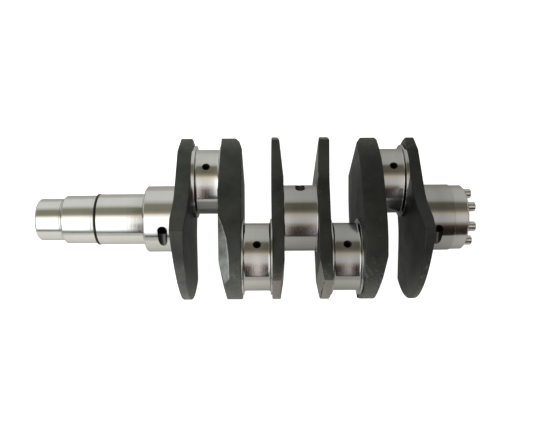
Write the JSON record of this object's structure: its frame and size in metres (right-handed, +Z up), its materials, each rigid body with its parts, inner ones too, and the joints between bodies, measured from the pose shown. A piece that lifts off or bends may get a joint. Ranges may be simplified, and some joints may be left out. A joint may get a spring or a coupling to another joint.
{
  "type": "crankshaft",
  "caption": "Forged crankshaft for a flat engine: stepped nose, offset crankpins between bevelled counterweighted webs, and a flanged flywheel end with a ring of dowels.",
  "frame": {"origin": "on the crank axis at the middle of main journal 2, the centre one", "axes": "+X along the crank axis towards the flywheel end, +Y towards crankpins 1 and 4, +Z up with the throws level"},
  "size_m": [0.3579, 0.135, 0.1158],
  "materials": {
    "ground_journal": "ground and polished steel",
    "turned_steel": "finely turned steel",
    "forged_web": "dark oxide on a forged and partly machined surface",
    "dowel_steel": "ground hardened steel",
    "plug_metal": "plain",
    "black_ring": "blackened spring steel"
  },
  "bodies": {
    "root": {"pulley_seat": "turned_steel", "nose_journal": "turned_steel", "gear_seat": "turned_steel", "main_journal_3": "ground_journal", "web_1": "forged_web", "crankpin_1": "ground_journal", "web_2": "forged_web", "crankpin_2": "ground_journal", "web_3": "forged_web", "main_journal_2": "ground_journal", "web_4": "forged_web", "crankpin_3": "ground_journal", "web_5": "forged_web", "crankpin_4": "ground_journal", "web_6": "forged_web", "main_journal_1": "ground_journal", "flywheel_flange": "turned_steel", "flywheel_dowel_1": "dowel_steel", "flywheel_dowel_2": "dowel_steel", "flywheel_dowel_3": "dowel_steel", "flywheel_dowel_4": "dowel_steel", "flywheel_dowel_5": "dowel_steel", "flywheel_dowel_6": "dowel_steel", "flywheel_dowel_7": "dowel_steel", "flywheel_dowel_8": "dowel_steel", "oil_plug_1": "plug_metal", "oil_plug_2": "plug_metal", "oil_plug_3": "plug_metal", "oil_plug_4": "plug_metal", "retaining_ring": "black_ring"}
  },
  "joints": []
}
